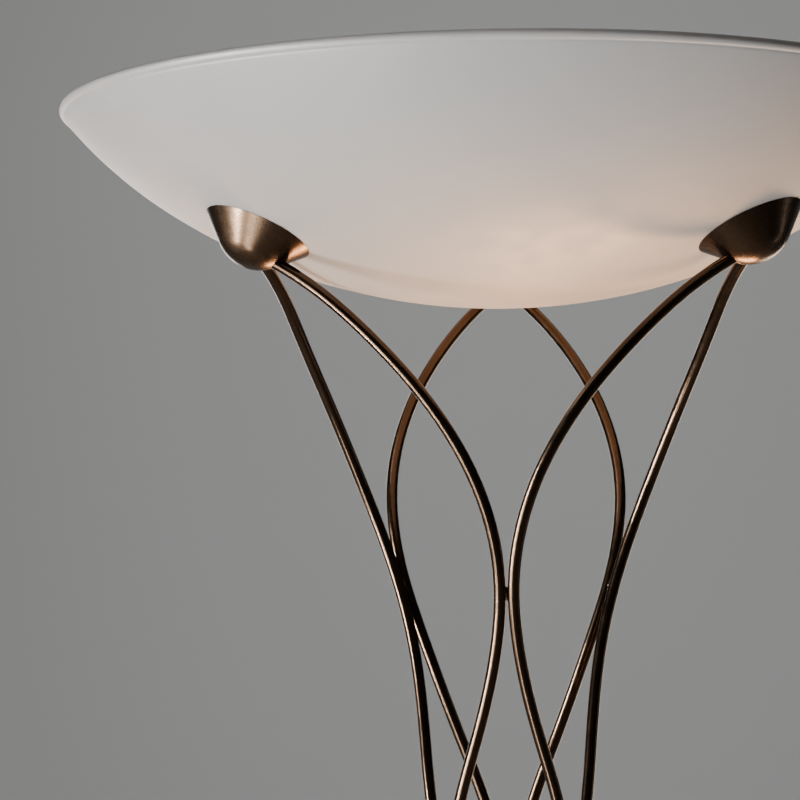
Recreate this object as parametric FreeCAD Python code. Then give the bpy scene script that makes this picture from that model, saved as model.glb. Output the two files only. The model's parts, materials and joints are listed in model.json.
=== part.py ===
import FreeCAD, Part
import math
import os

# Torchiere floor lamp: a shallow opal glass bowl carried by three domed cups, six bent bronze
# bars that weave down to three weighted domed feet, and a lampholder on a three-armed bracket
# inside the bowl.  Millimetres, +Z up, origin on the floor below the centre of the bowl.

# ---- driving dimensions ----
RIM_RADIUS = 300.0          # outside of the bowl's rim
RIM_HEIGHT = 1770.0         # top of the rim above the floor
BOWL_DEPTH = 133.5          # rim to the lowest point, outside
GLASS = 5.0                 # wall of the bowl
BEAD_RADIUS = 3.4           # rounded rim
MIDDLE_ARC = 422.5          # radius of curvature of the bowl's middle, at mid wall
MIDDLE_REACH = 225.0        # distance from the axis where the outer arc takes over

ROD_RADIUS = 4.0
TUBE_BORE = 2.6             # the one hollow rod carries the lead
LEAD_RADIUS = 1.8
FIT = 0.05                  # radial clearance where one piece passes through another

CUP_REACH = 184.0           # distance from the axis to a cup's centre on the glass
CUP_RADIUS = 36.0
CUP_DEPTH = 24.5
DOME_EDGE = math.radians(46.0)  # slope of the cups' and feet's sheet at its edge
SHEET = 2.0                 # wall of the cups
CUP_SINK = 1.2              # the cup's edge follows the curved glass by this much

FOOT_REACH = 236.0
FOOT_RADIUS = 56.0
FOOT_HEIGHT = 36.0
PAD = 3.0                   # felt pad below each foot

HUB_DROP = 110.0            # rim to the top of the bracket's hub
HUB_RADIUS = 38.0
HUB_SHEET = 2.5
ARM_WIDTH = 14.0
ARM_SHEET = 2.0
NIPPLE_RADIUS = 4.9         # hollow M10 threaded nipples
NIPPLE_BORE = 3.2

# Stations of one rod: height, distance from the axis, angle away from its own cup in degrees.
# Rods of one cup part, meet the next cup's rods, close up at the waist, and part again below.
ROD_STATIONS = [
    (1660.8, 176.9, 2.1),
    (1658.5, 174.0, 2.9),
    (1650.0, 164.2, 6.1),
    (1610.0, 136.6, 21.1),
    (1565.0, 118.9, 36.7),
    (1515.0, 105.4, 49.8),
    (1460.0, 88.7, 56.7),
    (1405.0, 70.6, 53.6),
    (1355.0, 58.9, 41.3),
    (1310.0, 53.5, 24.2),
    (1267.0, 50.8, 10.4),
    (1225.0, 50.0, 5.85),
    (1120.0, 52.0, 10.0),
    (1000.0, 58.0, 24.5),
    (885.0, 68.0, 41.5),
    (757.0, 84.0, 53.6),
    (614.0, 104.0, 57.2),
    (471.0, 127.0, 50.5),
    (341.0, 150.0, 36.5),
    (224.0, 175.0, 20.0),
    (120.0, 205.0, 8.0),
    (62.0, 222.0, 3.3),
    (24.0, 232.0, 1.6),
]
# Height and distance from the axis where neighbouring rods come closest.
UPPER_MEETING = (1444.5, 83.3)
WAIST_MEETING = (1204.0, 49.8)
LOWER_MEETING = (645.0, 99.3)

CUPS = {"left": 210.0, "right": 330.0, "rear": 90.0}
RODS = {
    "rod_left_front": ("left", 1),
    "rod_left_back": ("left", -1),
    "rod_right_front": ("right", -1),
    "rod_right_back": ("right", 1),
    "rod_rear_left": ("rear", 1),
    "rod_rear_right": ("rear", -1),
}
WIRED_ROD = "rod_rear_left"

# ---- worked-out places ----
UP = FreeCAD.Vector(0, 0, 1)
BOWL_BOTTOM = RIM_HEIGHT - BOWL_DEPTH
HUB_TOP = RIM_HEIGHT - HUB_DROP

# Distances along a clamp's axis, from the outside of the glass (positive leaves the bowl).
PLATE_NEAR, PLATE_FAR = 3.0, 6.0
GASKET_NEAR, GASKET_FAR = -5.4, -7.4
WASHER_FAR = -8.9
TAB_FAR = WASHER_FAR - ARM_SHEET
NUT_FAR = TAB_FAR - 5.0
NIPPLE_NEAR, NIPPLE_FAR = PLATE_FAR, -17.0
GLASS_HOLE = 6.2

# Lampholder, measured up from the hub.
CORE_BOTTOM, CORE_TOP = 6.0, 19.0
HOLDER_RADIUS = 19.5
CAP_HEIGHT = 16.0
HOLDER_HEIGHT = 46.0
SHELL_INNER = 13.45
LEAD_OUTLET = 6.5
KNOB_HEIGHT = 11.0
BULB_BASE = HUB_TOP + CORE_TOP + 1.8
BULB_LENGTH = 85.0
BULB_RADIUS = 24.0
BULB_CAP_HEIGHT = 25.0

# Rear foot wiring.
OUTLET_HEIGHT = 11.0
CONNECTOR_START, CONNECTOR_END = 252.0, 266.0
BUSHING_START, BUSHING_END = 272.0, 291.0
BUSHING_BORE = 3.3


# ---- small helpers ----
def vec(x, y, z):
    return FreeCAD.Vector(x, y, z)


def around(shape, angle):
    """A copy of a shape turned about the lamp's axis."""
    copy = shape.copy()
    copy.rotate(vec(0, 0, 0), UP, angle)
    return copy


def at_each_cup(shape):
    return Part.Compound([around(shape, angle) for angle in CUPS.values()])


def cylinder(radius, low, high, x=0.0, y=0.0):
    return Part.makeCylinder(radius, high - low, vec(x, y, low))


def ring(outer, inner, low, high, x=0.0, y=0.0):
    return cylinder(outer, low, high, x, y).cut(cylinder(inner, low - 1, high + 1, x, y))


def hexagon(across_flats, low, high, x=0.0, y=0.0):
    radius = across_flats / math.sqrt(3)
    corners = []
    for k in range(7):
        turn = math.radians(60 * k)
        corners.append(vec(x + radius * math.cos(turn), y + radius * math.sin(turn), low))
    return Part.Face(Part.makePolygon(corners)).extrude(vec(0, 0, high - low))


def hex_nut(across_flats, hole, low, high, x=0.0, y=0.0):
    """Hexagon nut with its corners turned off at both faces."""
    nut = hexagon(across_flats, low, high, x, y)
    corner = across_flats / math.sqrt(3)
    flat = across_flats / 2
    middle = (low + high) / 2
    rise = corner - flat + (high - low) / 2
    upper = Part.makeCone(flat + rise, flat, rise, vec(x, y, high - rise))
    lower = Part.makeCone(flat, flat + rise, rise, vec(x, y, low))
    rounded = nut.common(upper.fuse(cylinder(corner + 1, low, middle, x, y)))
    rounded = rounded.common(lower.fuse(cylinder(corner + 1, middle, high, x, y)))
    return rounded.cut(cylinder(hole, low - 1, high + 1, x, y))


def turned(edges):
    """Solid of revolution about Z from edges in the XZ plane."""
    return Part.Face(Part.Wire(Part.__sortEdges__(edges))).revolve(vec(0, 0, 0), UP, 360)


def line(a, b):
    return Part.LineSegment(a, b).toShape()


def arc_through(a, middle, b):
    return Part.Arc(a, middle, b).toShape()


def turned_polygon(points):
    """Solid of revolution from a closed (radius, height) outline of straight lines."""
    corners = [vec(r, 0, z) for r, z in points]
    return turned([line(a, b) for a, b in zip(corners, corners[1:] + corners[:1])])


def halfway(a, b):
    """Unit vector midway between two unit vectors."""
    way = a + b
    way.normalize()
    return way


# ---- paths of tangent arcs ----
def biarc(start, start_way, end, end_way):
    """Two arcs that leave start along start_way and reach end along end_way."""
    span = end - start
    ways = start_way + end_way
    a = 2 * (start_way.dot(end_way) - 1)
    b = -2 * span.dot(ways)
    c = span.dot(span)
    if abs(a) < 1e-9:
        reach = -c / b
    else:
        reach = (-b - math.sqrt(b * b - 4 * a * c)) / (2 * a)
    first_apex = start + start_way * reach
    second_apex = end - end_way * reach
    joint = (first_apex + second_apex) * 0.5
    return [tangent_arc(start, first_apex, joint), tangent_arc(joint, second_apex, end)]


def tangent_arc(start, apex, end):
    """Arc that touches the lines start-apex and apex-end, or a line when they are in line."""
    chord_middle = (start + end) * 0.5
    to_apex = apex - chord_middle
    if to_apex.Length < 1e-6:
        return line(start, end)
    half_chord = (end - start).Length / 2
    half_turn = math.atan2(to_apex.Length, half_chord)
    rise = half_chord * math.tan(half_turn / 2)
    way = FreeCAD.Vector(to_apex)
    way.normalize()
    return arc_through(start, chord_middle + way * rise, end)


def rounded_route(points):
    """Straight runs joined by arcs as large as the shorter run at each point allows."""
    edges = []
    last = points[0]
    for before, here, after in zip(points, points[1:], points[2:]):
        back = before - here
        ahead = after - here
        reach = 0.45 * min(back.Length, ahead.Length)
        back.normalize()
        ahead.normalize()
        start = here + back * reach
        end = here + ahead * reach
        edges.append(line(last, start))
        edges.append(tangent_arc(start, here, end))
        last = end
    edges.append(line(last, points[-1]))
    return edges


def sweep_circle(edges, radius):
    first = edges[0]
    start = first.valueAt(first.FirstParameter)
    way = first.tangentAt(first.FirstParameter)
    circle = Part.Wire(Part.makeCircle(radius, start, way))
    return Part.Wire(edges).makePipeShell([circle], True, False)


def dome(radius, height, inset=0.0):
    """Domed solid on Z = 0 with the cups' outline, its wall's faces set in by the inset."""
    apex = vec(0, 0, height - inset)
    edge = vec(radius - inset / math.sin(DOME_EDGE), 0, 0)
    falling = vec(math.cos(DOME_EDGE), 0, -math.sin(DOME_EDGE))
    outline = biarc(apex, vec(1, 0, 0), edge, falling)
    return turned(outline + [line(edge, vec(0, 0, 0)), line(vec(0, 0, 0), apex)])


# ---- the bowl's curve ----
def bowl_arcs():
    """Centres, radii and meeting point of the two arcs at mid wall."""
    rim = vec(RIM_RADIUS - BEAD_RADIUS, 0, RIM_HEIGHT - BEAD_RADIUS)
    inner_centre = vec(0, 0, BOWL_BOTTOM + GLASS / 2 + MIDDLE_ARC)
    drop = math.sqrt(MIDDLE_ARC ** 2 - MIDDLE_REACH ** 2)
    meeting = inner_centre + vec(MIDDLE_REACH, 0, -drop)
    inward = (inner_centre - meeting) * (1 / MIDDLE_ARC)
    span = rim - meeting
    outer_radius = span.dot(span) / (2 * span.dot(inward))
    return inner_centre, meeting + inward * outer_radius, outer_radius, meeting, rim


INNER_CENTRE, OUTER_CENTRE, OUTER_ARC, ARCS_MEET, RIM_POINT = bowl_arcs()


def cup_tilt():
    """Angle between the bowl's surface at a cup and the horizontal, in radians."""
    return math.asin(CUP_REACH / (MIDDLE_ARC + GLASS / 2))


TILT = cup_tilt()
CUP_SPOT = INNER_CENTRE + vec(math.sin(TILT), 0, -math.cos(TILT)) * (MIDDLE_ARC + GLASS / 2)
CLAMP_WAY = vec(math.sin(TILT), 0, -math.cos(TILT))
CLAMP_ALONG = vec(math.cos(TILT), 0, math.sin(TILT))


def clamp_place():
    """Puts a piece modelled about Z at the cup at angle zero, with +Z leaving the bowl."""
    turn = FreeCAD.Rotation(vec(0, 1, 0), 180 - math.degrees(TILT))
    return FreeCAD.Placement(CUP_SPOT, turn)


def clamp_point(along, out):
    return CUP_SPOT + CLAMP_ALONG * along + CLAMP_WAY * out


def at_clamp(shape):
    placed = shape.copy()
    placed.Placement = clamp_place().multiply(placed.Placement)
    return placed


def at_angle_of_clamp(shape, angle):
    return around(at_clamp(shape), angle)


# ---- glass bowl ----
def bowl_wall(offset):
    """Outer or inner face of the wall, as points where its arcs start, meet and end."""
    bottom = INNER_CENTRE - vec(0, 0, MIDDLE_ARC + offset)
    out = (ARCS_MEET - INNER_CENTRE) * (1 / MIDDLE_ARC)
    meet = ARCS_MEET + out * offset
    rim_way = (RIM_POINT - OUTER_CENTRE) * (1 / OUTER_ARC)
    rim = RIM_POINT + rim_way * offset
    low_middle = INNER_CENTRE + halfway(out, UP * -1) * (MIDDLE_ARC + offset)
    high_middle = OUTER_CENTRE + halfway(out, rim_way) * (OUTER_ARC + offset)
    return bottom, low_middle, meet, high_middle, rim


def glass_bowl():
    out_bottom, out_low, out_meet, out_high, out_rim = bowl_wall(GLASS / 2)
    in_bottom, in_low, in_meet, in_high, in_rim = bowl_wall(-GLASS / 2)
    wall = turned([
        arc_through(out_bottom, out_low, out_meet),
        arc_through(out_meet, out_high, out_rim),
        line(out_rim, in_rim),
        arc_through(in_rim, in_high, in_meet),
        arc_through(in_meet, in_low, in_bottom),
        line(in_bottom, out_bottom),
    ])
    bead = Part.makeTorus(RIM_RADIUS - BEAD_RADIUS, BEAD_RADIUS, vec(0, 0, RIM_HEIGHT - BEAD_RADIUS))
    bowl = wall.fuse(bead)
    hole = at_clamp(cylinder(GLASS_HOLE, -3 * GLASS, 3 * GLASS))
    for angle in CUPS.values():
        bowl = bowl.cut(around(hole, angle))
    return bowl


# ---- rods ----
def rod_edges(cup, side):
    """Chain of tangent arcs through a rod's stations, from its cup to its foot."""
    points = []
    for height, reach, away in ROD_STATIONS:
        turn = math.radians(CUPS[cup] + side * away)
        points.append(vec(reach * math.cos(turn), reach * math.sin(turn), height))
    guide = Part.BSplineCurve()
    guide.interpolate(points)
    ways = [guide.tangent(guide.parameter(point))[0] for point in points]
    edges = []
    for k in range(len(points) - 1):
        edges += biarc(points[k], ways[k], points[k + 1], ways[k + 1])
    return edges


ROD_EDGES = {name: rod_edges(*where) for name, where in RODS.items()}
CUP_END_ARCS = 6
FOOT_END_ARCS = 4


def rod(name):
    solid = sweep_circle(ROD_EDGES[name], ROD_RADIUS)
    if name == WIRED_ROD:
        solid = solid.cut(sweep_circle(ROD_EDGES[name], TUBE_BORE))
    return solid


def rods_of(cup):
    return [name for name, where in RODS.items() if where[0] == cup]


def rod_holes_at_cup(cup):
    cutters = []
    for name in rods_of(cup):
        cutters.append(sweep_circle(ROD_EDGES[name][:CUP_END_ARCS], ROD_RADIUS + FIT))
    return cutters


def rod_holes_at_foot(cup):
    cutters = []
    for name in rods_of(cup):
        cutters.append(sweep_circle(ROD_EDGES[name][-FOOT_END_ARCS:], ROD_RADIUS + FIT))
    return cutters


def weld_beads(meeting, angles, rods):
    """Small fillets of weld metal that bridge the gap where two rods pass side by side."""
    height, reach = meeting
    bead = cylinder(2.0, height - 4.0, height + 4.0, reach, 0)
    nearby = cylinder(reach + 40, height - 20, height + 20)
    close = [rods[name].common(nearby) for name in rods]
    beads = []
    for angle in angles:
        piece = around(bead, angle)
        for neighbour in close:
            piece = piece.cut(neighbour)
        beads.append(largest_solid(piece))
    return Part.Compound(beads)


def largest_solid(shape):
    return max(shape.Solids, key=lambda solid: solid.Volume)


# ---- cups and clamps ----
def cup_solid(inset=0.0):
    solid = dome(CUP_RADIUS, CUP_DEPTH, inset)
    solid.translate(vec(0, 0, -CUP_SINK))
    return solid


def cup(name):
    """A cup with the holes for its two rods; the three cups are alike."""
    shell = cup_solid().cut(cup_solid(SHEET))
    shell = at_angle_of_clamp(shell, CUPS["left"])
    for hole in rod_holes_at_cup("left"):
        shell = shell.cut(hole)
    return around(largest_solid(shell), CUPS[name] - CUPS["left"])


def cup_plate(name):
    """Threaded plate welded across the inside of a cup."""
    plate = cup_solid(SHEET + FIT).common(ring(CUP_RADIUS, NIPPLE_RADIUS + FIT, PLATE_NEAR, PLATE_FAR))
    return at_angle_of_clamp(plate, CUPS[name])


def clamp_nipples():
    return at_each_cup(at_clamp(ring(NIPPLE_RADIUS, NIPPLE_BORE, NIPPLE_FAR, NIPPLE_NEAR)))


def outer_gaskets():
    pad = ring(14.0, NIPPLE_RADIUS + FIT, 0.0, PLATE_NEAR)
    collar = ring(GLASS_HOLE - 0.2, NIPPLE_RADIUS + FIT, 1 - GLASS, 0.0)
    return at_each_cup(at_clamp(pad.fuse(collar)))


def inner_gaskets():
    return at_each_cup(at_clamp(ring(14.0, NIPPLE_RADIUS + FIT, GASKET_FAR, GASKET_NEAR)))


def clamp_washers():
    return at_each_cup(at_clamp(ring(12.5, NIPPLE_RADIUS + 0.3, WASHER_FAR, GASKET_FAR)))


def clamp_nuts():
    return at_each_cup(at_clamp(hex_nut(14.0, NIPPLE_RADIUS + FIT, NUT_FAR, TAB_FAR)))


# ---- bracket inside the bowl ----
RIVET_REACH = 30.0
RIVET_SPREAD = 4.4
RIVET_RADIUS = 1.6


def arm_line():
    """Middle of an arm's thickness, from its tab at the clamp to its inner end on the hub."""
    out = (WASHER_FAR + TAB_FAR) / 2
    height = HUB_TOP + ARM_SHEET / 2
    return [clamp_point(11.0, out), clamp_point(-24.0, out), vec(40.0, 0, height), vec(21.5, 0, height)]


def spider_arm(name):
    edges = rounded_route(arm_line())
    start = arm_line()[0]
    across = vec(0, ARM_WIDTH / 2, 0)
    thick = CLAMP_WAY * (ARM_SHEET / 2)
    corners = [start - across - thick, start + across - thick, start + across + thick, start - across + thick]
    section = Part.makePolygon(corners + corners[:1])
    arm = Part.Wire(edges).makePipeShell([section], True, False)
    arm = arm.cut(at_clamp(cylinder(NIPPLE_RADIUS + 0.2, -20, 0)))
    for side in (-RIVET_SPREAD, RIVET_SPREAD):
        arm = arm.cut(cylinder(RIVET_RADIUS + FIT, HUB_TOP - 5, HUB_TOP + 8, RIVET_REACH, side))
    return around(arm, CUPS[name])


def spider_hub():
    hub = ring(HUB_RADIUS, NIPPLE_RADIUS + FIT, HUB_TOP - HUB_SHEET, HUB_TOP)
    for angle in CUPS.values():
        for side in (-RIVET_SPREAD, RIVET_SPREAD):
            hole = cylinder(RIVET_RADIUS + FIT, HUB_TOP - 5, HUB_TOP + 1, RIVET_REACH, side)
            hub = hub.cut(around(hole, angle))
    return hub


def arm_rivets():
    low = HUB_TOP - HUB_SHEET
    high = HUB_TOP + ARM_SHEET
    profile = turned_polygon([
        (0, low - 1.0), (2.2, low - 1.0), (2.6, low - 0.5), (2.6, low), (RIVET_RADIUS, low),
        (RIVET_RADIUS, high), (2.6, high), (2.6, high + 0.6), (2.1, high + 1.2), (0, high + 1.2),
    ])
    pair = []
    for side in (-RIVET_SPREAD, RIVET_SPREAD):
        rivet = profile.copy()
        rivet.translate(vec(RIVET_REACH, side, 0))
        pair.append(rivet)
    return Part.Compound([around(rivet, angle) for angle in CUPS.values() for rivet in pair])


def arm_slope():
    line_points = arm_line()
    rise = line_points[1] - line_points[2]
    rise.normalize()
    return line_points[2], rise


LEAD_LIFT = ARM_SHEET / 2 + 0.9 + LEAD_RADIUS
CLIP_DISTANCES = (39.0, 67.0)
LEAD_NEAR, LEAD_FAR = 14.0, 88.0     # stretch of the lead that follows the arm


def above_arm(distance):
    """A point of the lead above the sloping stretch of the rear arm, at angle zero."""
    start, way = arm_slope()
    square = vec(-way.z, 0, way.x)
    return start + way * distance + square * LEAD_LIFT


def lead_clips():
    """Moulded saddles that hold the lead down on the rear arm."""
    start, way = arm_slope()
    tilt = math.degrees(math.atan2(way.z, way.x))
    clips = []
    for distance in CLIP_DISTANCES:
        block = Part.makeBox(7.0, 8.0, 5.6, vec(-3.5, -4.0, ARM_SHEET / 2))
        bore = Part.makeCylinder(LEAD_RADIUS + FIT, 20, vec(-10, 0, LEAD_LIFT), vec(1, 0, 0))
        clip = block.cut(bore)
        top = [edge for edge in clip.Edges if edge.BoundBox.ZMin > 6.0]
        clip = clip.makeFillet(1.2, top)
        clip.rotate(vec(0, 0, 0), vec(0, 1, 0), -tilt)
        clip.translate(start + way * distance)
        clips.append(around(clip, CUPS["rear"]))
    return Part.Compound(clips)


# ---- lampholder ----
def holder_nipple():
    return ring(NIPPLE_RADIUS, NIPPLE_BORE, HUB_TOP - 9.0, HUB_TOP + CORE_BOTTOM - 1.0)


def holder_locknut():
    top = HUB_TOP - HUB_SHEET
    return hex_nut(14.0, NIPPLE_RADIUS + FIT, top - 4.0, top)


def knob_bore(radius):
    return Part.makeCylinder(radius, 40, vec(6.0, 0, HUB_TOP + KNOB_HEIGHT), vec(1, 0, 0))


def holder_cap():
    """Pressed metal cap that screws on the nipple and closes the lampholder below."""
    wall = 1.2
    cap = turned_polygon([
        (NIPPLE_RADIUS + FIT, HUB_TOP), (HOLDER_RADIUS - 2, HUB_TOP), (HOLDER_RADIUS, HUB_TOP + 2),
        (HOLDER_RADIUS, HUB_TOP + CAP_HEIGHT), (HOLDER_RADIUS - wall, HUB_TOP + CAP_HEIGHT),
        (HOLDER_RADIUS - wall, HUB_TOP + wall + 1.2), (HOLDER_RADIUS - 2 - wall / 2, HUB_TOP + wall),
        (NIPPLE_RADIUS + FIT, HUB_TOP + wall),
    ])
    outlet = Part.makeCylinder(LEAD_RADIUS + FIT, 20, vec(0, 10, HUB_TOP + LEAD_OUTLET), vec(0, 1, 0))
    return cap.cut(outlet).cut(knob_bore(2.0 + FIT))


def holder_sleeve():
    """Insulating outer shell of the lampholder, with a beaded mouth."""
    low = HUB_TOP + CAP_HEIGHT
    high = HUB_TOP + HOLDER_HEIGHT
    return turned_polygon([
        (15.6, low), (HOLDER_RADIUS - 0.6, low), (HOLDER_RADIUS - 0.6, low + 3), (18.2, low + 4),
        (18.2, high - 5), (19.2, high - 4), (19.2, high - 1), (18.2, high), (16.0, high), (15.6, high - 0.4),
    ])


def holder_core():
    """Insulating block that carries the contacts, terminals and the switch."""
    core = cylinder(15.2, HUB_TOP + CORE_BOTTOM, HUB_TOP + CORE_TOP)
    lead_hole = Part.makeCylinder(LEAD_RADIUS + FIT, 20, vec(0, 10, HUB_TOP + LEAD_OUTLET), vec(0, 1, 0))
    core = core.cut(lead_hole).cut(knob_bore(2.0 + FIT))
    for side in (-1, 1):
        core = core.cut(cylinder(1.6, HUB_TOP, HUB_TOP + 13.0, side * 8.0, 8.0))
    return core


def holder_screw_shell():
    low = HUB_TOP + CORE_TOP
    flange = ring(15.2, 8.0, low, low + 0.8)
    tube = ring(SHELL_INNER + 0.7, SHELL_INNER, low, low + 25.0)
    return flange.fuse(tube)


def holder_contact():
    """Sprung leaf under the bulb's centre contact."""
    low = HUB_TOP + CORE_TOP
    leaf = Part.makeBox(13.0, 5.0, 0.6, vec(-6.5, -2.5, low))
    button = cylinder(3.0, low + 0.6, low + 1.5)
    return leaf.fuse(button)


def terminal_screws():
    screws = []
    low = HUB_TOP + 3.0
    for side in (-1, 1):
        head = cylinder(2.8, low, low + 2.2, side * 8.0, 8.0)
        slot = Part.makeBox(6.0, 0.7, 0.9, vec(side * 8.0 - 3.0, 7.65, low))
        shank = cylinder(1.5, low + 2.2, low + 9.5, side * 8.0, 8.0)
        screws.append(head.fuse(shank).cut(slot))
    return Part.Compound(screws)


# ---- switch ----
def switch_stem():
    stem = Part.makeCylinder(2.0, 20.5, vec(6.5, 0, HUB_TOP + KNOB_HEIGHT), vec(1, 0, 0))
    collar = Part.makeCylinder(3.2, 1.2, vec(20.2, 0, HUB_TOP + KNOB_HEIGHT), vec(1, 0, 0))
    return stem.fuse(collar)


def switch_knob():
    """Small fluted turn knob on the stem."""
    start, length, radius = 21.8, 11.0, 6.5
    knob = Part.makeCylinder(radius, length, vec(start, 0, 0), vec(1, 0, 0))
    flutes = 10
    for k in range(flutes):
        turn = 2 * math.pi * k / flutes
        place = vec(start + 1.5, (radius + 1.0) * math.cos(turn), (radius + 1.0) * math.sin(turn))
        knob = knob.cut(Part.makeCylinder(1.6, length, place, vec(1, 0, 0)))
    knob = knob.cut(Part.makeCylinder(2.0, 27.0 - start, vec(start, 0, 0), vec(1, 0, 0)))
    knob.translate(vec(0, 0, HUB_TOP + KNOB_HEIGHT))
    return knob


# ---- bulb ----
BULB_CENTRE = BULB_BASE + BULB_LENGTH - BULB_RADIUS
NECK_RADIUS = 11.8


def bulb_profile(shrink):
    """Outline of the envelope, from its neck inside the cap to its crown."""
    radius = BULB_RADIUS - shrink
    leave = math.radians(-38)
    shoulder = vec(radius * math.cos(leave), 0, BULB_CENTRE + radius * math.sin(leave))
    equator = vec(radius, 0, BULB_CENTRE)
    crown = vec(0, 0, BULB_CENTRE + radius)
    neck_top = vec(NECK_RADIUS - shrink, 0, BULB_BASE + BULB_CAP_HEIGHT + 1.0)
    neck_low = vec(NECK_RADIUS - shrink, 0, BULB_BASE + 12.0)
    way = vec(math.sin(leave), 0, -math.cos(leave))
    neck = biarc(shoulder, way, neck_top, vec(0, 0, -1))
    return [arc_through(crown, equator, shoulder)] + neck + [line(neck_top, neck_low)], crown, neck_low


def bulb_envelope():
    outer, crown_out, low_out = bulb_profile(0.0)
    inner, crown_in, low_in = bulb_profile(0.8)
    return turned(outer + inner + [line(crown_out, crown_in), line(low_out, low_in)])


def bulb_cap():
    """Screw cap with rolled rings in place of its helical thread."""
    pitch = 3.629
    low = BULB_BASE + 6.0
    high = BULB_BASE + BULB_CAP_HEIGHT
    cap = ring(12.4, NECK_RADIUS + FIT, low, high)
    for k in range(5):
        height = low + 2.2 + pitch * k
        cap = cap.fuse(Part.makeTorus(12.2, 0.9, vec(0, 0, height)).cut(cylinder(12.0, low, high)))
    return cap


def bulb_insulator():
    low = BULB_BASE + 1.2
    high = BULB_BASE + 6.0
    return turned_polygon([(0, low), (5.0, low), (11.6, high), (11.6, high + 3), (0, high + 3)])


def bulb_contact():
    return turned_polygon([(0, BULB_BASE), (2.6, BULB_BASE), (3.6, BULB_BASE + 1.2), (0, BULB_BASE + 1.2)])


def bulb_stem():
    low = BULB_BASE + 9.0
    return turned_polygon([(0, low), (9.5, low), (9.5, low + 3), (3.0, low + 12), (2.4, low + 34), (0, low + 34)])


def bulb_filament():
    """Filament on its two support wires, held by the stem."""
    base = BULB_BASE + 36.0
    top = BULB_BASE + 56.0
    route = [vec(-2.9, 0, base), vec(-9.0, 0, top - 6), vec(-8.0, 0, top), vec(0, 0, top + 2.5)]
    mirrored = [vec(-p.x, 0, p.z) for p in reversed(route[:-1])]
    return sweep_circle(rounded_route(route + mirrored), 0.45)


# ---- internal lead ----
def lead_edges():
    """From the lampholder over the rear arm, through the hollow clamp and rod to the rear foot."""
    over = [
        vec(11.0, 0, HUB_TOP + LEAD_OUTLET),
        above_arm(LEAD_NEAR),
        above_arm(LEAD_FAR),
        vec(140.0, 0, HUB_TOP + 45.0),
        clamp_point(0, -42.0),
        clamp_point(0, NIPPLE_NEAR - 2.5),
    ]
    edges = rounded_route(over)
    turned_edges = [around(edge, CUPS["rear"]) for edge in edges]
    leaves = turned_edges[-1]
    start = leaves.valueAt(leaves.LastParameter)
    tube = ROD_EDGES[WIRED_ROD]
    mouth = tube[0].valueAt(tube[0].FirstParameter)
    turned_edges += biarc(start, leaves.tangentAt(leaves.LastParameter),
                          mouth, tube[0].tangentAt(tube[0].FirstParameter))
    foot = tube[-1].valueAt(tube[-1].LastParameter)
    ends = vec(0, CONNECTOR_START, OUTLET_HEIGHT)
    last = biarc(foot, tube[-1].tangentAt(tube[-1].LastParameter), ends, vec(0, 1, 0))
    return turned_edges + tube + last


def internal_lead():
    return sweep_circle(lead_edges(), LEAD_RADIUS)


# ---- feet ----
STUD_SIDE = 28.0
STUD_RADIUS = 3.0


def foot_solid(inset=0.0):
    solid = dome(FOOT_RADIUS, FOOT_HEIGHT, inset)
    solid.translate(vec(FOOT_REACH, 0, PAD))
    return solid


def foot_cup(name):
    shell = foot_solid().cut(foot_solid(SHEET))
    shell = around(shell, CUPS[name])
    for hole in rod_holes_at_foot(name):
        shell = shell.cut(hole)
    if name == "rear":
        way_out = Part.makeCylinder(5.5 + FIT, 60, vec(0, FOOT_REACH + 20, OUTLET_HEIGHT), vec(0, 1, 0))
        shell = shell.cut(way_out)
    return largest_solid(shell)


def foot_weight(name):
    """Cast slug that fills the foot, with pockets for the nuts and a channel for the wiring."""
    slug = foot_solid(SHEET + 0.2)
    for side in (-STUD_SIDE, STUD_SIDE):
        slug = slug.cut(cylinder(STUD_RADIUS + 0.3, 0, 60, FOOT_REACH, side))
        slug = slug.cut(cylinder(8.0, PAD - 1, PAD + 6.5, FOOT_REACH, side))
    slug = around(slug, CUPS[name])
    for hole in rod_holes_at_foot(name):
        slug = slug.cut(hole)
    if name == "rear":
        slug = slug.cut(Part.makeBox(20, 90, 23, vec(-10, FOOT_REACH - 14, PAD - 1)))
    return largest_solid(slug)


def foot_studs():
    top = PAD + 21.0
    studs = [cylinder(STUD_RADIUS, PAD + 0.8, top, FOOT_REACH, side) for side in (-STUD_SIDE, STUD_SIDE)]
    return Part.Compound([around(stud, angle) for angle in CUPS.values() for stud in studs])


def foot_nuts():
    nuts = []
    for side in (-STUD_SIDE, STUD_SIDE):
        nuts.append(hex_nut(10.0, STUD_RADIUS + FIT, PAD + 1.5, PAD + 6.5, FOOT_REACH, side))
    return Part.Compound([around(nut, angle) for angle in CUPS.values() for nut in nuts])


def foot_pads():
    pad = cylinder(FOOT_RADIUS - 1.0, 0, PAD, FOOT_REACH, 0)
    return at_each_cup(pad)


def cord_bushing():
    """Moulded bushing in the rear foot where a supply cord would enter."""
    axis = vec(0, 1, 0)
    sleeve = Part.makeCylinder(5.5, BUSHING_END - BUSHING_START, vec(0, BUSHING_START, OUTLET_HEIGHT), axis)
    collar = Part.makeCylinder(7.0, 14.0, vec(0, BUSHING_END - 14.0, OUTLET_HEIGHT), axis)
    collar = collar.cut(around(foot_solid(), CUPS["rear"]))
    bore = Part.makeCylinder(BUSHING_BORE, 60, vec(0, BUSHING_START - 10, OUTLET_HEIGHT), axis)
    return largest_solid(sleeve.fuse(collar).cut(bore))


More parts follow.
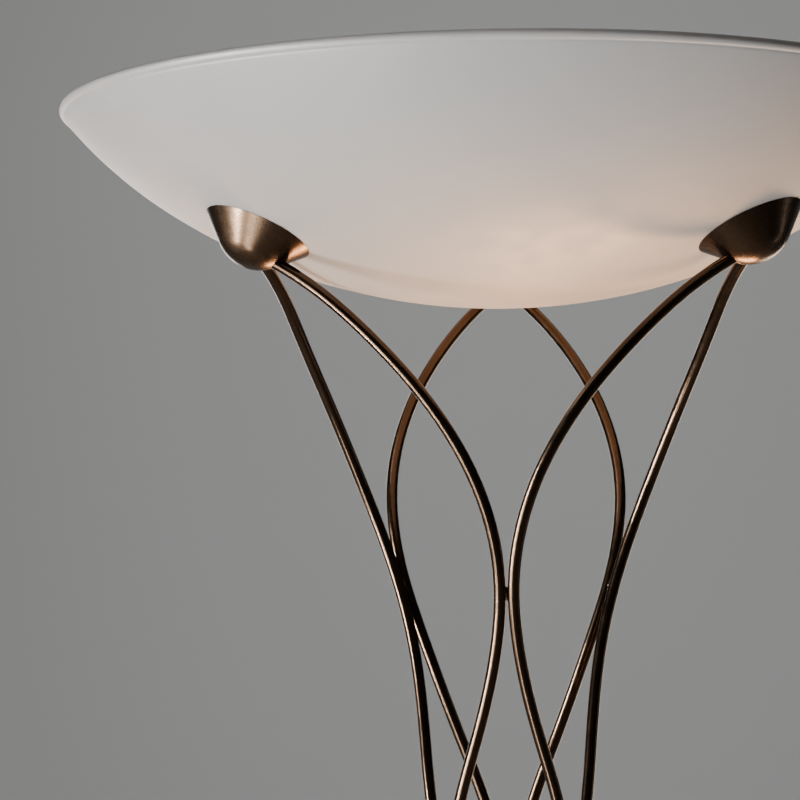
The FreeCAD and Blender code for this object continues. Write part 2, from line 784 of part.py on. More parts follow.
def wire_connector():
    length = CONNECTOR_END - CONNECTOR_START
    block = Part.makeBox(11, length, 9, vec(-5.5, CONNECTOR_START, OUTLET_HEIGHT - 4.5))
    for side in (-2.7, 2.7):
        screw_well = cylinder(1.6, OUTLET_HEIGHT, OUTLET_HEIGHT + 10, side, CONNECTOR_START + 4)
        entry = Part.makeCylinder(1.5, 6, vec(side, CONNECTOR_END - 6, OUTLET_HEIGHT), vec(0, 1, 0))
        block = block.cut(screw_well).cut(entry)
    return block


# ---- assembly ----
def build():
    pieces = {"glass_bowl": glass_bowl()}
    rods = {name: rod(name) for name in RODS}
    pieces.update(rods)
    between = [angle + 60 for angle in CUPS.values()]
    pieces["upper_weld_beads"] = weld_beads(UPPER_MEETING, between, rods)
    pieces["waist_weld_beads"] = weld_beads(WAIST_MEETING, CUPS.values(), rods)
    pieces["lower_weld_beads"] = weld_beads(LOWER_MEETING, between, rods)
    for name in CUPS:
        pieces["cup_" + name] = cup(name)
        pieces["cup_plate_" + name] = cup_plate(name)
        pieces["spider_arm_" + name] = spider_arm(name)
        pieces["foot_cup_" + name] = foot_cup(name)
        pieces["foot_weight_" + name] = foot_weight(name)
    singles = [
        clamp_nipples, outer_gaskets, inner_gaskets, clamp_washers, clamp_nuts,
        spider_hub, arm_rivets, lead_clips,
        holder_nipple, holder_locknut, holder_cap, holder_sleeve, holder_core,
        holder_screw_shell, holder_contact, terminal_screws,
        switch_stem, switch_knob,
        bulb_envelope, bulb_cap, bulb_insulator, bulb_contact, bulb_stem, bulb_filament,
        internal_lead,
        foot_studs, foot_nuts, foot_pads, cord_bushing, wire_connector,
    ]
    for make in singles:
        pieces[make.__name__] = make()
    return pieces


def report_lead(pieces):
    length = sum(edge.Length for edge in lead_edges())
    section = math.pi * LEAD_RADIUS ** 2
    print("lead length %.0f mm, volume ratio %.4f" % (length, pieces["internal_lead"].Volume / (section * length)))
    radii = [edge.Curve.Radius for edge in lead_edges() if hasattr(edge.Curve, "Radius")]
    print("lead bends, mm:", " ".join("%.0f" % radius for radius in radii))


def main():
    os.makedirs("parts", exist_ok=True)
    pieces = build()
    for name, shape in pieces.items():
        if not shape.isValid():
            print("not valid:", name)
        shape.exportStep("parts/" + name + ".step")
    report_lead(pieces)
    print(len(pieces), "nodes")


main()
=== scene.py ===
"""Looks of the torchiere floor lamp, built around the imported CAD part.  Metres, +Z up."""

import json
import math

import bmesh
import bpy
from mathutils import Matrix, Vector, noise

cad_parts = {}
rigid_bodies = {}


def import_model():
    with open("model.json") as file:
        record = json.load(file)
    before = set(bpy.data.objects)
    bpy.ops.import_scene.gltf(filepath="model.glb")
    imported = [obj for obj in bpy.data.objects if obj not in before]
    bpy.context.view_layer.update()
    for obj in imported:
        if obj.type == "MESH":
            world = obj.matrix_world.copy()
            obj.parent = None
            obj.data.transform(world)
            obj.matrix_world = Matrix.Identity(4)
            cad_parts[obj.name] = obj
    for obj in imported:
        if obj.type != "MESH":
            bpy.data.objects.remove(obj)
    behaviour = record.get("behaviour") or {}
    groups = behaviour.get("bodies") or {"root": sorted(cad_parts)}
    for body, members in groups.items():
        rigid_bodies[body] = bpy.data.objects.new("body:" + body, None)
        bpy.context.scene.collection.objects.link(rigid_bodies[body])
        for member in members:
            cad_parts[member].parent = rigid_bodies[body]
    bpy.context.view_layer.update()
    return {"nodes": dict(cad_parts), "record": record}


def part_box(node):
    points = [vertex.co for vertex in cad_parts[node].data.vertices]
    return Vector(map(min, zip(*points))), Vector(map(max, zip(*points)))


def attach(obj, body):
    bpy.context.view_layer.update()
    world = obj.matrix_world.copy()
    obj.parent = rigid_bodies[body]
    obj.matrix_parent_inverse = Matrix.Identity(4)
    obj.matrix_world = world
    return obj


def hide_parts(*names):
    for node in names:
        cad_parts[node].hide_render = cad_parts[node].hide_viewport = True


for leftover in list(bpy.data.objects):
    bpy.data.objects.remove(leftover)

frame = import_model()
NODES = frame["nodes"]

MM = 0.001
UP = Vector((0, 0, 1))


# ---------------------------------------------------------------- places read from the frame
def node_middle(name):
    low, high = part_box(name)
    return (low + high) / 2


BOWL_LOW, BOWL_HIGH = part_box("glass_bowl")
RIM_HEIGHT = BOWL_HIGH.z
RIM_RADIUS = BOWL_HIGH.x

# ---------------------------------------------------------------- sizes of the pieces built here
GLASS = 5.0 * MM                        # wall of the bowl
BEAD_RADIUS = 3.1 * MM                  # rounded rim
MIDDLE_ARC = 422.5 * MM                 # radius of curvature of the bowl's middle
MIDDLE_REACH = 225.0 * MM               # distance from the axis where the outer arc takes over
GLASS_HOLE = 6.2 * MM                   # radius of a clamp's hole
HOLE_REACH = 30.0 * MM                  # how far the holes are cut to either side
THREAD_PITCH = 3.629 * MM
THREAD_FADE = 2.2 * MM                  # length over which a thread starts and ends
WELD_OUT, WELD_ACROSS, WELD_UP = 2.3 * MM, 1.7 * MM, 4.4 * MM   # half sizes of a weld bead


# ---------------------------------------------------------------- material building
class Paint:
    """A node material with one Principled shader, and short calls for its textures."""

    def __init__(self, name, **values):
        self.material = bpy.data.materials.new(name)
        self.material.use_nodes = True
        self.tree = self.material.node_tree
        self.tree.nodes.clear()
        self.output = self.tree.nodes.new("ShaderNodeOutputMaterial")
        self.shader = self.tree.nodes.new("ShaderNodeBsdfPrincipled")
        self.tree.links.new(self.shader.outputs["BSDF"], self.output.inputs["Surface"])
        self.place = self.tree.nodes.new("ShaderNodeTexCoord").outputs["Object"]
        for key, value in values.items():
            self.shader.inputs[key.replace("_", " ")].default_value = value

    def link(self, source, target):
        self.tree.links.new(source, target)

    def set(self, socket, source):
        self.link(source, self.shader.inputs[socket])

    def scaled(self, x, y, z):
        """Object coordinates stretched along each axis."""
        mapping = self.tree.nodes.new("ShaderNodeMapping")
        mapping.inputs["Scale"].default_value = (x, y, z)
        self.link(self.place, mapping.inputs["Vector"])
        return mapping.outputs["Vector"]

    def noise(self, scale, detail=4.0, roughness=0.55, distortion=0.0, vector=None):
        node = self.tree.nodes.new("ShaderNodeTexNoise")
        node.inputs["Scale"].default_value = scale
        node.inputs["Detail"].default_value = detail
        node.inputs["Roughness"].default_value = roughness
        node.inputs["Distortion"].default_value = distortion
        self.link(vector or self.place, node.inputs["Vector"])
        return node.outputs["Fac"]

    def cells(self, scale):
        node = self.tree.nodes.new("ShaderNodeTexVoronoi")
        node.inputs["Scale"].default_value = scale
        self.link(self.place, node.inputs["Vector"])
        return node.outputs["Distance"]

    def ramp(self, source, stops):
        """Colours along a value: stops are (position, colour)."""
        node = self.tree.nodes.new("ShaderNodeValToRGB")
        node.color_ramp.interpolation = "EASE"
        points = node.color_ramp.elements
        while len(points) < len(stops):
            points.new(0.5)
        for point, (position, colour) in zip(points, stops):
            point.position = position
            point.color = (*colour, 1.0)
        self.link(source, node.inputs["Fac"])
        return node.outputs["Color"]

    def span(self, source, low, high, to_low, to_high):
        """A value taken from one range to another, and held at the ends."""
        node = self.tree.nodes.new("ShaderNodeMapRange")
        node.clamp = True
        for key, value in (("From Min", low), ("From Max", high), ("To Min", to_low), ("To Max", to_high)):
            node.inputs[key].default_value = value
        self.link(source, node.inputs["Value"])
        return node.outputs["Result"]

    def math(self, operation, first, second):
        node = self.tree.nodes.new("ShaderNodeMath")
        node.operation = operation
        for socket, value in zip(node.inputs, (first, second)):
            if isinstance(value, (int, float)):
                socket.default_value = value
            else:
                self.link(value, socket)
        return node.outputs["Value"]

    def mix(self, factor, first, second):
        node = self.tree.nodes.new("ShaderNodeMix")
        node.data_type = "RGBA"
        node.blend_type = "MIX"
        sockets = [s for s in node.inputs if s.enabled]
        for socket, value in zip(sockets, (factor, first, second)):
            if isinstance(value, tuple):
                socket.default_value = (*value, 1.0)
            elif isinstance(value, (int, float)):
                socket.default_value = value
            else:
                self.link(value, socket)
        return [s for s in node.outputs if s.enabled][0]

    def axis(self, name):
        """One of the object coordinates, X, Y or Z."""
        node = self.tree.nodes.new("ShaderNodeSeparateXYZ")
        self.link(self.place, node.inputs["Vector"])
        return node.outputs[name]

    def bump(self, height, distance, strength=1.0, below=None):
        node = self.tree.nodes.new("ShaderNodeBump")
        node.inputs["Strength"].default_value = strength
        node.inputs["Distance"].default_value = distance
        self.link(height, node.inputs["Height"])
        if below is not None:
            self.link(below, node.inputs["Normal"])
        return node.outputs["Normal"]


# ---------------------------------------------------------------- materials
def opal_glass():
    p = Paint("opal_glass", Roughness=0.34, Subsurface_Weight=0.25, Subsurface_Scale=0.006, IOR=1.5)
    p.shader.inputs["Subsurface Radius"].default_value = (1.0, 0.82, 0.66)
    height = p.axis("Z")
    # Painted glow: the base colour turns warm peach towards the bottom of the bowl, standing in for warm
    # light from below
    painted_glow = p.span(height, BOWL_LOW.z, BOWL_LOW.z + 0.09, 1.0, 0.0)
    cloud = p.noise(5.0, 3.0, 0.5)
    milk = p.ramp(cloud, [(0.3, (0.655, 0.648, 0.640)), (0.7, (0.690, 0.684, 0.676))])
    p.set("Base Color", p.mix(p.math("MULTIPLY", painted_glow, 0.75), milk, (0.74, 0.655, 0.575)))
    p.set("Roughness", p.span(p.noise(38.0, 5.0, 0.6), 0.3, 0.7, 0.40, 0.52))
    ripple = p.bump(p.noise(9.0, 2.0, 0.4), 0.0006, 0.35)
    p.set("Normal", p.bump(p.noise(1400.0, 2.0, 0.5), 0.00002, 0.35, ripple))
    return p.material


def bronze(name, smoothest, roughest):
    """Dark patina over bronze: mottled brown, fine specks, and metal rubbed bright here and there."""
    p = Paint(name, Metallic=1.0, Roughness=smoothest)
    broad = p.noise(7.0, 4.0, 0.6)
    tone = p.ramp(broad, [(0.30, (0.056, 0.035, 0.022)), (0.52, (0.082, 0.052, 0.033)),
                          (0.75, (0.112, 0.073, 0.047))])
    fleck = p.noise(720.0, 3.0, 0.7)
    pits = p.span(fleck, 0.56, 0.68, 0.0, 0.6)
    coloured = p.mix(pits, tone, (0.045, 0.028, 0.018))
    rubbed = p.span(p.noise(300.0, 5.0, 0.75), 0.60, 0.74, 0.0, 0.35)
    p.set("Base Color", p.mix(rubbed, coloured, (0.34, 0.22, 0.13)))
    patches = p.noise(110.0, 4.0, 0.6)
    grain = p.math("ADD", p.math("MULTIPLY", fleck, 0.4), p.math("MULTIPLY", patches, 0.6))
    p.set("Roughness", p.span(grain, 0.35, 0.65, smoothest, roughest))
    coarse = p.bump(p.noise(190.0, 3.0, 0.6), 0.00010, 0.5)
    p.set("Normal", p.bump(fleck, 0.00004, 0.6, coarse))
    return p.material


def metal(name, dark, light, roughness, brush=(1.0, 1.0, 1.0), scale=500.0):
    """Plated or turned metal: a cloudy tone, fine marks stretched by the brush, and stains."""
    p = Paint(name, Metallic=1.0, Roughness=roughness)
    cloud = p.noise(70.0, 5.0, 0.6)
    marks = p.noise(scale, 4.0, 0.65, vector=p.scaled(*brush))
    tone = p.ramp(cloud, [(0.3, dark), (0.7, light)])
    stain = tuple(c * 0.55 for c in dark)
    p.set("Base Color", p.mix(p.span(marks, 0.55, 0.75, 0.0, 0.35), tone, stain))
    p.set("Roughness", p.span(marks, 0.3, 0.7, roughness - 0.07, roughness + 0.12))
    p.set("Normal", p.bump(marks, 0.00002, 0.5))
    return p.material


def moulded(name, dark, light, roughness, grain, depth, coat=0.0):
    """Moulded plastic or rubber: slight mottling and a fine grain."""
    p = Paint(name, Roughness=roughness, Coat_Weight=coat, Coat_Roughness=0.15)
    p.set("Base Color", p.ramp(p.noise(120.0, 4.0, 0.6), [(0.3, dark), (0.7, light)]))
    fine = p.noise(grain, 3.0, 0.6)
    p.set("Roughness", p.span(fine, 0.3, 0.7, roughness - 0.06, roughness + 0.1))
    p.set("Normal", p.bump(fine, depth, 0.5))
    return p.material


def felt():
    p = Paint("wool_felt", Roughness=0.95, Sheen_Weight=0.6, Sheen_Roughness=0.6)
    fibres = p.noise(900.0, 6.0, 0.75, 1.2)
    clumps = p.noise(160.0, 4.0, 0.6)
    tone = p.ramp(fibres, [(0.3, (0.045, 0.036, 0.029)), (0.7, (0.14, 0.115, 0.09))])
    p.set("Base Color", p.mix(p.span(clumps, 0.3, 0.7, 0.0, 0.6), tone, (0.07, 0.055, 0.042)))
    p.set("Normal", p.bump(fibres, 0.0004, 0.8))
    return p.material


def cast_iron():
    p = Paint("cast_iron", Metallic=0.7, Roughness=0.62)
    sand = p.noise(420.0, 5.0, 0.7)
    p.set("Base Color", p.ramp(sand, [(0.3, (0.045, 0.043, 0.042)), (0.7, (0.12, 0.112, 0.106))]))
    p.set("Roughness", p.span(sand, 0.3, 0.7, 0.52, 0.75))
    p.set("Normal", p.bump(sand, 0.0003, 0.7))
    return p.material


def frosted_bulb():
    p = Paint("frosted_bulb", Roughness=0.22, Subsurface_Weight=0.2, Subsurface_Scale=0.004,
              IOR=1.5, Coat_Weight=0.25, Coat_Roughness=0.05)
    cloud = p.noise(60.0, 4.0, 0.6)
    p.set("Base Color", p.ramp(cloud, [(0.3, (0.83, 0.83, 0.81)), (0.7, (0.90, 0.90, 0.885))]))
    p.set("Roughness", p.span(p.noise(900.0, 2.0, 0.5), 0.3, 0.7, 0.16, 0.30))
    p.set("Normal", p.bump(p.noise(1800.0, 2.0, 0.5), 0.000015, 0.3))
    return p.material


def clear_glass():
    p = Paint("clear_glass", Roughness=0.03, Transmission_Weight=0.95, IOR=1.48)
    p.set("Base Color", p.ramp(p.noise(80.0), [(0.3, (0.90, 0.94, 0.93)), (0.7, (0.97, 0.99, 0.98))]))
    p.set("Roughness", p.span(p.noise(300.0), 0.3, 0.7, 0.02, 0.08))
    return p.material


def sheath():
    """Braided sleeve of the internal lead, woven round it in a fine crossing pattern."""
    p = Paint("lead_sheath", Roughness=0.7, Sheen_Weight=0.25)
    weave = p.cells(1500.0)
    p.set("Base Color", p.ramp(weave, [(0.15, (0.115, 0.085, 0.062)), (0.6, (0.040, 0.030, 0.024))]))
    p.set("Roughness", p.span(weave, 0.1, 0.7, 0.58, 0.85))
    p.set("Normal", p.bump(weave, 0.00015, 0.7))
    return p.material


MATERIALS = {
    "opal_glass": opal_glass(),
    "bronze": bronze("bronze_patina", 0.15, 0.26),
    "cast_iron": cast_iron(),
    "zinc_steel": metal("zinc_steel", (0.47, 0.48, 0.50), (0.63, 0.63, 0.64), 0.34, (1, 1, 1), 340.0),
    "brass": metal("brass", (0.55, 0.39, 0.15), (0.74, 0.55, 0.25), 0.28, (1, 1, 6), 600.0),
    "black_rubber": moulded("black_rubber", (0.022, 0.021, 0.021), (0.045, 0.043, 0.042), 0.72,
                            700.0, 0.00006),
    "felt": felt(),
    "phenolic": moulded("phenolic", (0.020, 0.016, 0.014), (0.042, 0.034, 0.029), 0.24,
                        500.0, 0.00002, 0.4),
    "nylon": moulded("nylon", (0.66, 0.65, 0.60), (0.78, 0.77, 0.72), 0.45, 650.0, 0.00003),
    "lead_sheath": sheath(),
    "bulb_glass": frosted_bulb(),
    "clear_glass": clear_glass(),
    "black_glass": moulded("black_glass", (0.010, 0.010, 0.012), (0.022, 0.022, 0.026), 0.10,
                           300.0, 0.00002, 0.5),
    "nickel": metal("nickel", (0.55, 0.52, 0.47), (0.71, 0.68, 0.62), 0.24, (1, 1, 8), 700.0),
    "tungsten": metal("tungsten", (0.20, 0.19, 0.18), (0.32, 0.31, 0.30), 0.42),
}
SLOT_OF = {row["node"]: row["material_slot"] for row in frame["record"]["subparts"]}

SPUN_BRONZE = bronze("bronze_patina_spun", 0.22, 0.30)
for name, node in NODES.items():
    spun = "cup" in name and SLOT_OF[name] == "bronze"
    material = SPUN_BRONZE if spun else MATERIALS[SLOT_OF[name]]
    node.data.materials.clear()
    node.data.materials.append(material)


# ---------------------------------------------------------------- pieces built in mesh code
def surface(name, rows, body, slot_name, stands_for, around_rows=False):
    """A mesh through rows of points that each close on themselves.

    around_rows also joins the last row to the first. Open ends are closed with a fan of triangles.
    """
    shape = bmesh.new()
    made = [[shape.verts.new(point) for point in row] for row in rows]
    count = len(rows[0])
    joins = list(zip(made, made[1:]))
    if around_rows:
        joins.append((made[-1], made[0]))
    for low, high in joins:
        for k in range(count):
            after = (k + 1) % count
            shape.faces.new((low[k], low[after], high[after], high[k]))
    if not around_rows:
        for row, flip in ((made[0], True), (made[-1], False)):
            middle = shape.verts.new(sum((v.co for v in row), Vector()) / count)
            for k in range(count):
                ends = (row[k], row[(k + 1) % count], middle)
                shape.faces.new(tuple(reversed(ends)) if flip else ends)
    bmesh.ops.recalc_face_normals(shape, faces=shape.faces)
    mesh = bpy.data.meshes.new(name)
    shape.to_mesh(mesh)
    shape.free()
    for face in mesh.polygons:
        face.use_smooth = True
    mesh.materials.append(MATERIALS[slot_name])
    made_object = bpy.data.objects.new(name, mesh)
    bpy.context.scene.collection.objects.link(made_object)
    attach(made_object, body)
    if stands_for:
        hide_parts(*stands_for)
    return made_object


def join_pieces(name, parts):
    """Several rows-built meshes as one object."""
    shape = bmesh.new()
    for part in parts:
        shape.from_mesh(part.data)
    first = parts[0]
    shape.to_mesh(first.data)
    shape.free()
    for face in first.data.polygons:
        face.use_smooth = True
    for part in parts[1:]:
        bpy.data.objects.remove(part)
    first.name = name
    return first


def smooth_step(value):
    """From 0 to 1 with a soft start and end."""
    value = min(max(value, 0.0), 1.0)
    return value * value * (3 - 2 * value)


def angles(count):
    return [2 * math.pi * k / count for k in range(count)]


def ring(radius, height, count):
    """Points round the lamp's axis."""
    return [(radius * math.cos(a), radius * math.sin(a), height) for a in angles(count)]


def clusters(name, reach):
    """Middles of the separate solids of a CAD node, found by how near their points are."""
    found = []
    for vertex in NODES[name].data.vertices:
        for group in found:
            if (group[0] - vertex.co).length < reach:
                group.append(vertex.co.copy())
                break
        else:
            found.append([vertex.co.copy()])
    middles = []
    for group in found:
        low = Vector([min(p[k] for p in group) for k in range(3)])
        high = Vector([max(p[k] for p in group) for k in range(3)])
        middles.append((low + high) / 2)
    return middles


def threaded_tube(name, node, body, slot_name, mean, wave, wall, start, end, flange=()):
    """A thin tube rolled into a round screw thread about the lamp's axis, its ends left plain.

    mean is the middle radius of its outside, wave the thread's height to either side of that, and
    flange the (radius, height) of any rings below its foot.
    """
    around_count, height_count = 120, 132
    rows_out, rows_in = [], []
    for j in range(height_count + 1):
        height = start + (end - start) * j / height_count
        fade = smooth_step((height - start) / THREAD_FADE) * smooth_step((end - height) / THREAD_FADE)
        outer, inner = [], []
        for angle in angles(around_count):
            radius = mean + wave * fade * math.cos(2 * math.pi * (height - start) / THREAD_PITCH - angle)
            outer.append((radius * math.cos(angle), radius * math.sin(angle), height))
            radius -= wall
            inner.append((radius * math.cos(angle), radius * math.sin(angle), height))
        rows_out.append(outer)
        rows_in.append(inner)
    rows = rows_out + list(reversed(rows_in))
    rows += [ring(radius, height, around_count) for radius, height in flange]
    return surface(name, rows, body, slot_name, (node,), around_rows=True)


def bulb_thread():
    low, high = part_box("bulb_cap")
    mean, wave, wall, inset = high.x - 0.45 * MM, 0.42 * MM, 0.4 * MM, 0.01 * MM
    return threaded_tube("bulb_screw_cap", "bulb_cap", "bulb", "nickel", mean, wave, wall,
                         low.z + inset, high.z - inset)


def holder_thread():
    low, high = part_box("holder_screw_shell")
    width = high.x
    foot = low.z + 0.8 * MM
    flange = [(0.54 * width, low.z), (width, low.z), (width, foot)]
    mean, wave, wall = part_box("bulb_cap")[1].x + 0.85 * MM, 0.28 * MM, 0.42 * MM
    return threaded_tube("holder_threaded_shell", "holder_screw_shell", "stand", "brass", mean, wave,
                         wall, foot, high.z, flange)


def knob():
    """Turned and fluted knob with eased edges and a dished end."""
    low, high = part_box("switch_knob")
    middle = (low + high) / 2
    radius = (high.z - low.z) / 2
    length = high.x - low.x
    flutes, around_count = 10, 240
    outline = [(0.0, 0.30), (0.0, 0.86), (0.02, 0.93), (0.06, 0.97), (0.12, 0.985), (0.17, 0.985),
               (0.20, 0.95), (0.24, 0.94), (0.30, 1.0), (0.55, 1.0), (0.80, 1.0), (0.90, 0.985),
               (0.955, 0.94), (0.985, 0.88), (1.0, 0.80), (1.0, 0.68), (0.985, 0.60), (0.955, 0.50),
               (0.945, 0.30), (0.945, 0.12)]
    rows = []
    for along, share in outline:
        row = []
        depth = 0.16 * smooth_step((along - 0.22) / 0.10) * smooth_step((share - 0.62) / 0.2)
        for angle in angles(around_count):
            wave = (0.5 + 0.5 * math.cos(flutes * angle)) ** 2.2
            here = radius * share * (1 - depth * wave)
            y, z = middle.y + here * math.cos(angle), middle.z + here * math.sin(angle)
            row.append((low.x + length * along, y, z))
        rows.append(row)
    return surface("switch_knob_fluted", rows, "switch", "phenolic", ("switch_knob",))


def felt_pads():
    """Three cut felt discs, their edges a little soft and uneven."""
    around_count = 180
    low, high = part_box("foot_pads")
    parts = []
    thick = high.z - low.z
    outline = [(0.30, 0.0), (0.70, 0.0), (0.972, 0.0), (0.988, 0.05), (0.996, 0.18), (1.0, 0.40),
               (1.0, 0.62), (0.996, 0.84), (0.988, 0.96), (0.972, 1.0), (0.70, 1.0), (0.30, 1.0)]
    for index, middle in enumerate(foot_middles()):
        rows = []
        for share, height in outline:
            row = []
            for angle in angles(around_count):
                spot = Vector((math.cos(angle) * 9, math.sin(angle) * 9, height * 3 + index * 7))
                rough = 1 - 0.004 * (0.5 + 0.5 * noise.noise(spot))
                here = PAD_RADIUS * share * (rough if share > 0.9 else 1)
                x, y = middle.x + here * math.cos(angle), middle.y + here * math.sin(angle)
                row.append((x, y, low.z + thick * height))
            rows.append(row)
        parts.append(surface("felt_part_%d" % index, rows, "stand", "felt", ()))
    pads = join_pieces("felt_foot_pads", parts)
    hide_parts("foot_pads")
    return pads


def foot_middles():
    return [node_middle("foot_cup_" + side) for side in ("left", "right", "rear")]


def weld_spots(node, name):
    """Small uneven beads of weld metal in the gap between two rods."""
    parts = []
    for index, middle in enumerate(clusters(node, 0.03)):
        out = Vector((middle.x, middle.y, 0)).normalized()
        across = UP.cross(out)
        rows = []
        levels, around_count = 28, 40
        for j in range(1, levels):
            turn = math.pi * j / levels
            row = []
            for angle in angles(around_count):
                way = (out * (math.sin(turn) * math.cos(angle))
                       + across * (math.sin(turn) * math.sin(angle)) - UP * math.cos(turn))
                swell = (1 + 0.22 * noise.noise(way * 2.3 + middle * 90)
                         + 0.08 * noise.noise(way * 7 + middle * 50))
                bead = (out * (way.dot(out) * WELD_OUT) + across * (way.dot(across) * WELD_ACROSS)
                        + UP * (way.z * WELD_UP))
                row.append(middle + bead * swell)
            rows.append(row)
        parts.append(surface("%s_part_%d" % (name, index), rows, "stand", "bronze", ()))
    spots = join_pieces(name, parts)
    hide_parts(node)
    return spots


def bowl_profile():
    """Outline of the bowl's wall in (radius, height): its outside, its rounded rim, its inside."""
    rim = Vector((RIM_RADIUS - BEAD_RADIUS, RIM_HEIGHT - BEAD_RADIUS))
    centre = Vector((0, BOWL_LOW.z + GLASS / 2 + MIDDLE_ARC))
    meet = centre + Vector((MIDDLE_REACH, -math.sqrt(MIDDLE_ARC ** 2 - MIDDLE_REACH ** 2)))
    inward = (centre - meet) / MIDDLE_ARC
    span = rim - meet
    outer_arc = span.dot(span) / (2 * span.dot(inward))
    outer_centre = meet + inward * outer_arc

    def arc_points(middle, radius, start, end, count):
        first = math.atan2(start.y - middle.y, start.x - middle.x)
        last = math.atan2(end.y - middle.y, end.x - middle.x)
        turns = [first + (last - first) * k / count for k in range(count + 1)]
        return [middle + Vector((math.cos(turn), math.sin(turn))) * radius for turn in turns]

    def face(aside):
        """One face of the wall, from next to its lowest point to just short of the bead."""
        middle_points = arc_points(centre, MIDDLE_ARC + aside, low, meet, 44)
        return middle_points[1:] + arc_points(outer_centre, outer_arc + aside, meet, rim, 26)[1:-2]

    low = centre - Vector((0, MIDDLE_ARC))
    outside, inside = face(GLASS / 2), face(-GLASS / 2)
    way = (rim - outer_centre).normalized()
    onward = Vector((-way.y, way.x))
    for aside, back in ((GLASS / 2, 3.8 * MM), (GLASS / 2 - 0.06 * MM, 3.1 * MM)):
        outside.append(rim + way * aside - onward * back)
        inside.append(rim - way * aside - onward * back)
    lip = []
    steps, start, sweep = 28, -49, 278
    for k in range(steps + 1):
        turn = math.radians(start + sweep * k / steps)
        lip.append(rim + way * (BEAD_RADIUS * math.cos(turn)) + onward * (BEAD_RADIUS * math.sin(turn)))
    return outside, lip, inside


def clamp_axes():
    """Middle and direction of each clamp; all three point at the middle of the bowl's own sphere."""
    ball = Vector((0, 0, BOWL_LOW.z + GLASS / 2 + MIDDLE_ARC))
    return [(middle, (ball - middle).normalized()) for middle in clusters("clamp_nipples", 0.06)]


def drill(target, axes, radius, reach):
    """Round holes through a mesh along each axis, their walls shaded flat."""
    around_count = 64
    for middle, way in axes:
        side = way.cross(UP).normalized()
        other = way.cross(side)
        circle = [(side * math.cos(a) + other * math.sin(a)) * radius for a in angles(around_count)]
        rows = [[middle + way * far + point for point in circle] for far in (-reach, reach)]
        shape = bmesh.new()
        low, high = [[shape.verts.new(point) for point in row] for row in rows]
        for k in range(around_count):
            after = (k + 1) % around_count
            shape.faces.new((low[k], low[after], high[after], high[k]))
        shape.faces.new(list(reversed(low)))
        shape.faces.new(high)
        bmesh.ops.recalc_face_normals(shape, faces=shape.faces)
        cutter_mesh = bpy.data.meshes.new("drill")
        shape.to_mesh(cutter_mesh)
        shape.free()
        cutter = bpy.data.objects.new("drill", cutter_mesh)
        bpy.context.scene.collection.objects.link(cutter)
        cut = target.modifiers.new("drill", "BOOLEAN")
        cut.operation, cut.solver, cut.object = "DIFFERENCE", "EXACT", cutter
        bpy.context.view_layer.update()
        evaluated = target.evaluated_get(bpy.context.evaluated_depsgraph_get())
        drilled = bpy.data.meshes.new_from_object(evaluated)
        target.modifiers.clear()
        drilled.name = target.data.name
        target.data = drilled
        bpy.data.objects.remove(cutter)
        for face in drilled.polygons:
            off = face.center - middle
            aside = (off - way * off.dot(way)).length
            if aside < radius * 1.02 and off.length < reach:
                face.use_smooth = False


def glass_bowl():
    """The blown bowl, turned from its outline, with the three clamp holes."""
    outside, lip, inside = bowl_profile()
    rows = [ring(radius, height, 384) for radius, height in outside + lip + list(reversed(inside))]
    bowl = surface("glass_bowl_blown", rows, "stand", "opal_glass", ("glass_bowl",))
    drill(bowl, clamp_axes(), GLASS_HOLE, HOLE_REACH)
    return bowl


PAD_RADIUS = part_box("foot_pads")[1].y - foot_middles()[2].y
glass_bowl()
bulb_thread()
holder_thread()
knob()
felt_pads()
weld_spots("upper_weld_beads", "weld_spots_upper")
weld_spots("waist_weld_beads", "weld_spots_waist")
weld_spots("lower_weld_beads", "weld_spots_lower")


# ---------------------------------------------------------------- stage, light and camera
def stage_floor():
    """Plain pale floor that rises into a backdrop well behind the lamp."""
    mesh = bpy.data.meshes.new("studio_floor")
    shape = bmesh.new()
    reach, far, bend, top, steps = 30.0, 9.0, 3.0, 12.0, 16
    under = 0.0002          # keeps the floor just clear of the pads
    profile = [(-reach, 0.0), (far - bend, 0.0)]
    for k in range(1, steps + 1):
        turn = math.pi / 2 * k / steps
        profile.append((far - bend + bend * math.sin(turn), bend - bend * math.cos(turn)))
    profile.append((far, top))
    rows = [[shape.verts.new((x, y, z - under)) for x in (-reach, reach)] for y, z in profile]
    for low, high in zip(rows, rows[1:]):
        shape.faces.new((low[0], low[1], high[1], high[0]))
    shape.to_mesh(mesh)
    shape.free()
    for face in mesh.polygons:
        face.use_smooth = True
    floor = bpy.data.objects.new("studio_floor", mesh)
    bpy.context.scene.collection.objects.link(floor)
    p = Paint("studio_floor", Roughness=0.85)
    p.shader.inputs["Base Color"].default_value = (0.60, 0.595, 0.585, 1)
    mesh.materials.append(p.material)


def area_light(name, place, target, width, height, power, colour):
    """A soft rectangular lamp at place, facing target, that the camera doesn't see."""
    data = bpy.data.lights.new(name, "AREA")
    data.shape = "RECTANGLE"
    data.size = width
    data.size_y = height
    data.energy = power
    data.color = colour
    lamp = bpy.data.objects.new(name, data)
    lamp.location = place
    lamp.rotation_mode = "QUATERNION"
    lamp.rotation_quaternion = (Vector(target) - Vector(place)).to_track_quat("-Z", "Y")
    lamp.visible_camera = False
    bpy.context.scene.collection.objects.link(lamp)
    return lamp


def below_rim(x, y, down):
    return (x, y, RIM_HEIGHT - down)


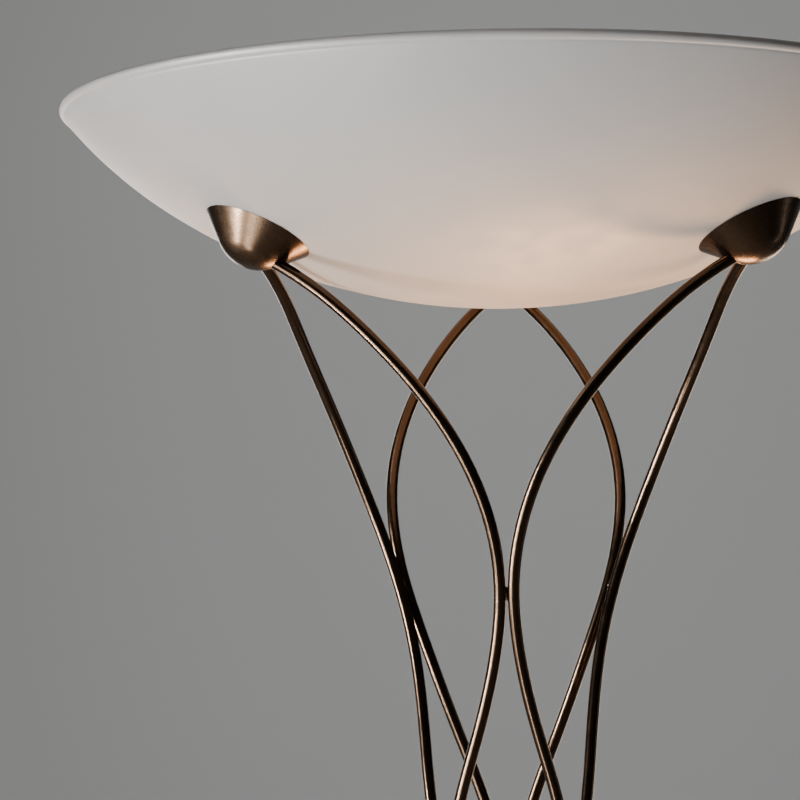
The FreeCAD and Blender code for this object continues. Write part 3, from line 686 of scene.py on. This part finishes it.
def lights():
    """A tall strip low on the left models the metal; a warm glow comes from below, behind the lamp."""
    area_light("key_low", below_rim(-0.98, -0.92, 1.02), below_rim(-0.10, -0.05, 0.1),
               0.24, 1.25, 18, (1.0, 0.985, 0.97))
    side = area_light("key_side", below_rim(-2.75, -1.15, 0.75), below_rim(0, 0, 0.45),
                      0.18, 2.3, 450, (1.0, 0.985, 0.965))
    side.visible_diffuse = False
    front = area_light("front", below_rim(-1.45, -1.75, 1.0), below_rim(-0.05, 0, 0.1),
                       0.7, 0.7, 17, (1.0, 0.975, 0.95))
    front.visible_glossy = False
    area_light("glow", below_rim(0.20, 0.85, 1.15), below_rim(0.04, -0.02, 0.12),
               0.5, 0.3, 24, (1.0, 0.52, 0.25))
    area_light("warm_back", below_rim(1.0, 2.2, 0.9), below_rim(0, 0, 0.4),
               0.5, 1.2, 9, (1.0, 0.78, 0.55))
    area_light("top", below_rim(-0.4, 0.2, -2.2), (0, 0, 0.9), 2.2, 2.2, 12, (1.0, 0.99, 0.97))
    area_light("back_fill", below_rim(-1.3, 3.1, 0.1), below_rim(0, 0, 0.7),
               0.7, 1.8, 16, (1.0, 0.97, 0.94))
    area_light("edge", below_rim(2.3, 0.35, 0.75), below_rim(0, 0, 0.6),
               0.10, 1.9, 2.2, (1.0, 0.97, 0.94))
    area_light("backdrop", (0, 4.5, 3.6), (0, 9.0, 2.2), 6.0, 1.5, 100, (0.98, 0.99, 1.0))
    world = bpy.data.worlds.new("studio")
    bpy.context.scene.world = world
    world.use_nodes = True
    background = world.node_tree.nodes["Background"]
    background.inputs["Color"].default_value = (0.20, 0.20, 0.205, 1)
    background.inputs["Strength"].default_value = 0.16


def camera():
    """The photograph's point of view: a long lens at the height of a standing person's eyes."""
    pitch, yaw, roll = math.radians(2.347), math.radians(-2.464), math.radians(-0.474)
    forward = Vector((math.cos(pitch) * math.sin(yaw), math.cos(pitch) * math.cos(yaw), math.sin(pitch)))
    level = Vector((math.cos(yaw), -math.sin(yaw), 0))
    upright = Vector((-math.sin(pitch) * math.sin(yaw), -math.sin(pitch) * math.cos(yaw), math.cos(pitch)))
    right = level * math.cos(roll) + upright * math.sin(roll)
    above = upright * math.cos(roll) - level * math.sin(roll)
    data = bpy.data.cameras.new("view")
    data.sensor_width = 36.0
    data.lens = 109.6
    data.clip_start, data.clip_end = 0.05, 60.0
    view = bpy.data.objects.new("view", data)
    bpy.context.scene.collection.objects.link(view)
    turn = Matrix((right, above, -forward)).transposed()
    view.matrix_world = Matrix.Translation(below_rim(0, -1.659, 0.2645)) @ turn.to_4x4()
    bpy.context.scene.camera = view


stage_floor()
lights()
camera()
